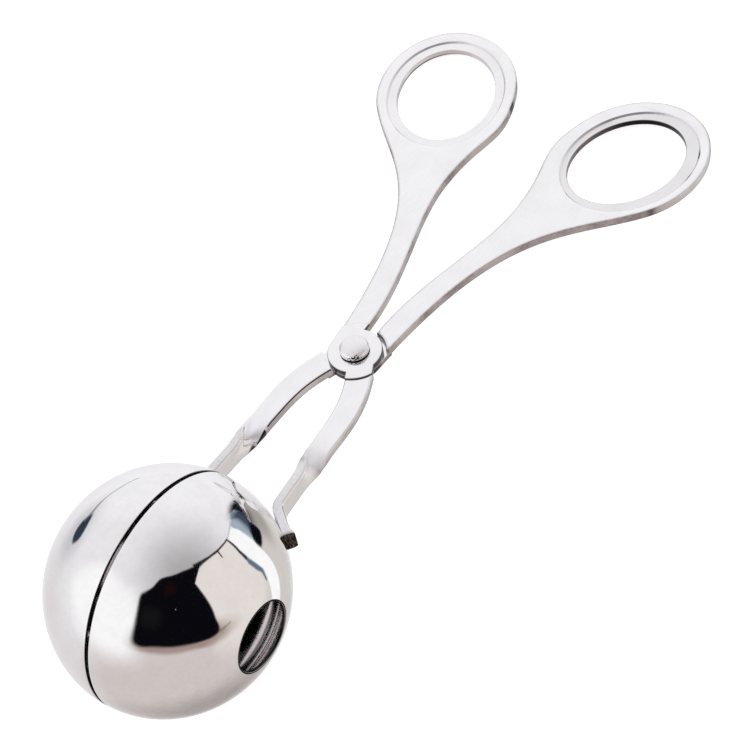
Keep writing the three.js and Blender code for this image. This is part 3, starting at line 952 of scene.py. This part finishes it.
def mirrored(rays, layer):
    # where camera rays that the ball mirrors these ways cross a layer, as directions from its centre
    # each pass finds the ball's point whose normal lies halfway between the ray and the camera
    halves = np.array([ball.depth, ball.radius, ball.radius]) * mm
    reach = tentLook.reach - tentLook.step * layer
    place = np.zeros_like(rays)
    for _ in range(cardMesh.passes):
        towards = np.array(cameraSet.eye) - ballCentre - place
        normal = rays + normalised(towards)
        place = halves ** 2 * normal / np.linalg.norm(halves * normal, axis=1, keepdims=True)
    along = (place * rays).sum(1, keepdims=True)
    far = -along + np.sqrt(along ** 2 - (place ** 2).sum(1, keepdims=True) + reach ** 2)
    return (place + rays * far) / reach


def addCard(name, rays, faces, solid, colour, layer):
    # emission card that fades out where its solid value falls; higher layers lie nearer
    look = Finish(bpy.data.materials.new(name))
    light = look.add("ShaderNodeEmission", {}, {"Color": (*colour, 1)})
    clear = look.add("ShaderNodeBsdfTransparent")
    shader = look.add("ShaderNodeMixShader", {}, {0: look.attribute("solid"), 1: clear, 2: light})
    look.surface(shader).cycles.emission_sampling = "NONE"
    points = ballCentre + rays * (tentLook.reach - tentLook.step * layer)
    card = makeObject(name, points, faces, {"solid": solid}, look.owner)
    card.visible_camera = False
    card.visible_diffuse = False
    card.visible_shadow = False


def smoothed(corners):
    # closed cubic curve through the corners
    one, two, three, four = (np.roll(corners, shift, 0)[:, None] for shift in (1, 0, -1, -2))
    t = np.linspace(0, 1, cardMesh.curveSteps, endpoint=False)[None, :, None]
    curve = 2 * two + (three - one) * t + (2 * one - 5 * two + 4 * three - four) * t ** 2
    return ((curve + (3 * two - one - 3 * three + four) * t ** 3) / 2).reshape(-1, corners.shape[1])


def panel(name, centre, corners, colour, layer, soft=0.06, near=False):
    # outline of bearings, heights and soft shares; rings run from its centre out and fade over each share
    corners = [corner if len(corner) > 2 else (*corner, soft) for corner in corners]
    corners = smoothed(np.array(corners, float))
    centre = np.array(centre, float)
    share = corners[:, 2].clip(0.01)
    inner = np.linspace(0.01, 0.6, cardMesh.innerRings)[:, None] * np.ones(len(corners))
    fading = 1 + np.array([-1, -0.5, 0, 0.5, 1])[:, None] * share
    rings = np.concatenate([inner, fading])
    rows = centre + (corners[:, :2] - centre) * rings[..., None]
    solid = np.repeat([1] * len(inner) + [1, 0.84, 0.5, 0.16, 0], len(corners))
    faces = gridFaces(len(rings), len(corners), False, True).tolist()
    rays = direction(*rows.reshape(-1, 2).T)
    addCard(name, mirrored(rays, layer) if near else rays, faces, solid, colour, layer)


def glow(name, centre, colour, layer, radius, soft, near=False):
    # round patch about a direction, in degrees, fading out over its soft rim
    middle = Vector(direction(*np.array(centre, float)))
    turn = np.array(middle.to_track_quat("Z", "Y").to_matrix())
    around = np.linspace(0, 2 * np.pi, cardMesh.glowSteps, endpoint=False)
    spread = np.linspace(0.02, radius, cardMesh.glowRings)
    share = ((radius - spread) / soft).clip(0, 1)
    tilt = np.radians(spread)[:, None]
    rings = np.stack(np.broadcast_arrays(
        np.sin(tilt) * np.cos(around), np.sin(tilt) * np.sin(around), np.cos(tilt),
    ), -1).reshape(-1, 3) @ turn.T
    solid = np.repeat(3 * share ** 2 - 2 * share ** 3, len(around))
    rays = mirrored(rings, layer) if near else rings
    addCard(name, rays, gridFaces(len(spread), len(around), False, True).tolist(), solid, colour, layer)


def ribbon(name, line, colour, layer, strength=1.0):
    # strip along a line of (bearing, height, width) in degrees, solid in its middle, fading to its edges
    line = np.array(line, float)
    step = normalised(np.gradient(line[:, :2], axis=0))
    across = np.stack([-step[:, 1], step[:, 0]], -1) * line[:, 2:] / 2
    offsets = np.array([1, 0.5, -0.5, -1])
    rows = line[:, None, :2] + across[:, None] * offsets[:, None]
    rays = direction(*rows.reshape(-1, 2).T)
    solid = np.tile([0, strength, strength, 0], len(line))
    addCard(name, rays, gridFaces(len(line), 4, False, False).tolist(), solid, colour, layer)


# what the steel mirrors: outlines of (bearing, height) with a soft share where it isn't the card's own
opening = [
    (60, 41), (68, 48), (78, 55), (90, 60.5), (100, 64.5), (110, 66.5), (122, 66), (135, 63.5),
    (150, 61.5, 0.06), (159, 58, 0.06), (162.5, 44, 0.06), (165.5, 31, 0.06), (168, 18, 0.06),
    (162, 13, 0.06), (150, 11.5, 0.06), (137, 7, 0.05), (124, 2, 0.05), (113, -3), (105, -6.5), (99, -7),
    (96, -4), (94, 4), (91, 12), (88, 22), (85, 32), (81, 41), (74, 44), (67, 43),
]
sideWall = [
    (32, 15.5), (44, 26), (61, 41), (74, 44), (82, 41), (88, 31), (91, 20), (98, 5), (104, -10, 0.1),
    (106, -22, 0.3), (92, -36, 0.3), (66, -40, 0.3), (48, -30, 0.2), (42, -18), (43, -6), (39, 5),
]
brightSide = [
    (165, 62), (190, 62), (220, 60), (240, 54), (247, 40), (247, 18), (236, 10, 0.3), (215, 3, 0.4),
    (195, 0, 0.4), (174, 2, 0.4), (164, 20), (162, 45),
]
whitePatch = [
    (21, 7), (31, 13.5), (36, 8), (39, 0), (41.5, -14), (40.5, -24), (43, -32), (45.5, -37), (49, -42),
    (48, -50), (38, -52), (32, -46), (29, -38), (28.5, -28), (28, -19), (25, -5),
]
blueLight = [(21, 7), (15, 4), (8, 0), (8, -6), (16, -13), (25, -12), (24, -5), (22.5, 0)]
blueMid = [(14, 3), (9, -1), (5, -8), (9, -18), (15, -20), (22, -16), (19, -10), (16, -6), (13.5, -2)]
blueDark = [(9, 1), (3, -4), (-1, -10), (-3, -16), (3, -20), (9, -18), (8, -11), (6, -5)]
blueFoot = [(13, -15), (13, -22), (16, -24), (27, -20.5), (26, -13), (19, -13)]
openingFoot = [
    (160, 30), (167, 13), (152, 6), (136, 0), (121, -5), (108, -12), (92, -14), (90, -9), (98, 4),
    (112, 12), (140, 26),
]
drainShade = [
    (70, -19), (80, -17), (88, -21), (95, -29), (99, -38), (98, -46), (95, -54), (88, -61), (74, -66),
    (56, -62), (49, -54), (50, -46), (55, -38), (59, -30), (64, -23),
]
leftPatch = [
    (-91, 4), (-89.5, 10), (-86, 11.5), (-82, 11), (-77.5, 9), (-74.5, 6), (-75, 3), (-78, 0),
    (-82, -1.5), (-87, -0.5),
]

# and lines of (bearing, height, width)
blueEdge = [(-3, -13, 4), (3, -15, 6), (9.5, -15, 6), (15, -14.5, 6), (21, -13, 6), (24, -14, 4)]
leftTail = [(-79, 2, 3), (-74, 3, 4.5), (-69, 0.5, 3.4), (-64.4, -1.3, 2), (-58, -3.5, 1.6), (-50, -9, 1.4)]
tentEdge = [(32, 15, 1.6), (37, 19.5, 2), (44, 26, 2.4), (52, 34, 3.2), (58, 39.5, 5), (66, 45, 9)]
tentEdgeFaint = [(16, 5.5, 2), (22, 9, 2), (32, 15, 1.8)]
tentSpur = [(44, 26, 2.2), (49, 21, 1.6)]
openingWisp = [(102, -5, 4), (96, -7.4, 3.6), (92, -8.4, 2.6), (87, -9.3, 1.2)]
wallEdge = [(32.5, 16, 2), (36, 10, 3), (40, 4, 3.4), (42.5, -3, 3.6)]
wallBlue = [(41.5, 0, 3), (43.5, -6, 5), (43.5, -14, 5.6), (42.5, -21, 4), (45, -28, 2)]

nearBall = 58.8  # layer of cards 60 mm from the ball's centre, out of the handles' sight

makeTable()
makeTent()
glow("lowerFront", (150, -40), (0.70, 0.635, 0.615), 0, 85, 50)
glow("lowerBack", (28, -45), (0.70, 0.67, 0.64), 1, 48, 30)
glow("tableShade", (165, -82), (0.44, 0.40, 0.385), 2, 40, 36)
glow("towardsHandles", (-35, 8), (0.99, 0.985, 1.0), 3, 55, 35)
glow("lowerLeft", (-108, -28), (0.80, 0.77, 0.775), 3.5, 42, 40)
panel("brightSide", (205, 32), brightSide, (1.08, 1.08, 1.08), 4, 0.2)
glow("openingShade", (80, 50), (0.46, 0.445, 0.45), 5, 66, 64)
panel("sideWall", (70, 5), sideWall, (0.87, 0.81, 0.775), 6, 0.03)
panel("opening", (117, 36), opening, (0.003, 0.003, 0.005), nearBall, 0.03, True)
panel("openingFoot", (132, 9), openingFoot, (0.40, 0.30, 0.27), 6.5, 0.3)
glow("openingWarmth", (108, 54), (0.012, 0.004, 0.003), nearBall + 0.02, 9, 8, True)
glow("openingDust", (146, 38), (0.008, 0.008, 0.009), nearBall + 0.02, 16, 14, True)
glow("underJaws", (3, -27), (0.42, 0.385, 0.36), 7, 18, 14)
panel("whitePatch", (32, -5), whitePatch, (1.1, 1.1, 1.1), 8)
panel("blueLight", (16, -3), blueLight, (0.40, 0.48, 0.56), 9, 0.12)
panel("blueMid", (10, -9), blueMid, (0.06, 0.08, 0.12), 10, 0.7)
panel("blueDark", (3, -10), blueDark, (0.006, 0.009, 0.018), 11, 0.6)
ribbon("blueEdge", blueEdge, (0.035, 0.037, 0.045), 11.5, 0.9)
panel("blueFoot", (19, -18), blueFoot, (0.004, 0.004, 0.008), 12, 0.15)
panel("drainShade", (76, -42), drainShade, (0.01, 0.01, 0.01), nearBall, 0.04)
glow("leftShade", (-85, 1), (0.62, 0.62, 0.65), 6, 25, 23)
panel("leftPatch", (-83, 5), leftPatch, (0.035, 0.048, 0.075), 7, 0.14)
ribbon("leftTail", leftTail, (0.2, 0.2, 0.22), 8, 0.75)
ribbon("tentEdge", tentEdge, (0.02, 0.02, 0.02), 13)
ribbon("tentEdgeFaint", tentEdgeFaint, (0.3, 0.28, 0.3), 13, 0.45)
ribbon("openingWisp", openingWisp, (0.2, 0.16, 0.15), 6.8, 0.6)
ribbon("tentSpur", tentSpur, (0.02, 0.02, 0.02), 13)
ribbon("wallEdge", wallEdge, (0.02, 0.025, 0.03), 13)
ribbon("wallBlue", wallBlue, (0.13, 0.19, 0.27), 12)
print("stage made")

bpy.context.scene.view_settings.view_transform = "Standard"
